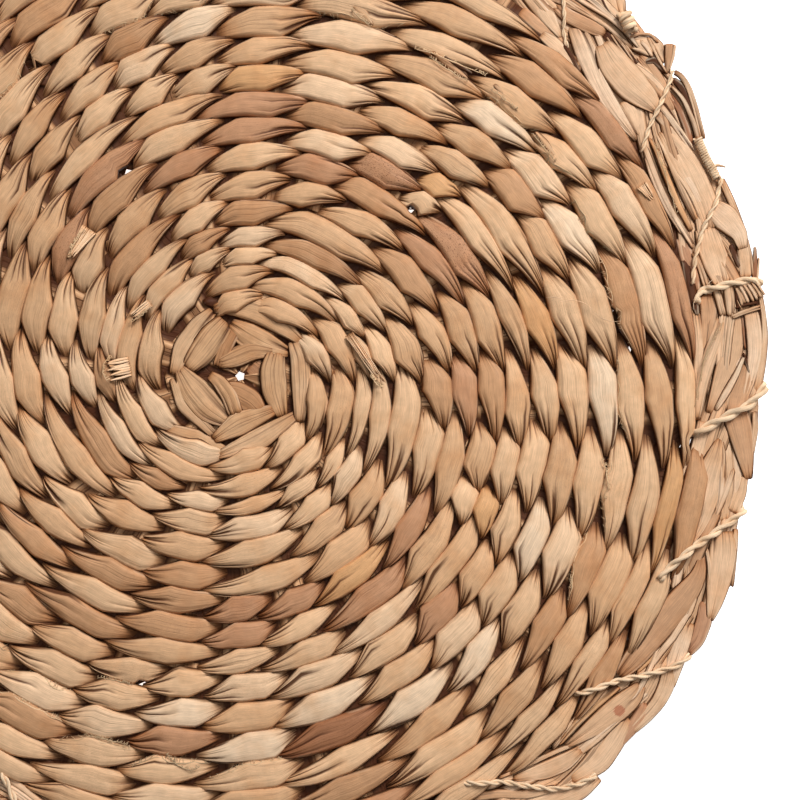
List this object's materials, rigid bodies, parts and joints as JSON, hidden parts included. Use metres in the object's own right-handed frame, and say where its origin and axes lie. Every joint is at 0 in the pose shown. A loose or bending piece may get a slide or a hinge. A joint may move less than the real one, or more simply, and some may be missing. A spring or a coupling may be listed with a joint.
{
  "type": "woven trivet",
  "caption": "Round flat trivet of twined leaf strips with a plaited rim bound on by a twisted twine.",
  "frame": {"origin": "middle of the weave, on the surface that the trivet rests on", "axes": "+Z up out of the face; seen from above +X is right and +Y is up, and the weave winds clockwise"},
  "size_m": [0.2846, 0.2849, 0.0103],
  "materials": {
    "leaf_strip": "dry matt leaf with a faint sheen",
    "plait_leaf": "dry matt leaf",
    "twine": "pale matt twisted fibre"
  },
  "bodies": {
    "root": {"woven_disc": "leaf_strip", "plaited_rim": "plait_leaf", "binding_twine": "twine"}
  },
  "joints": []
}
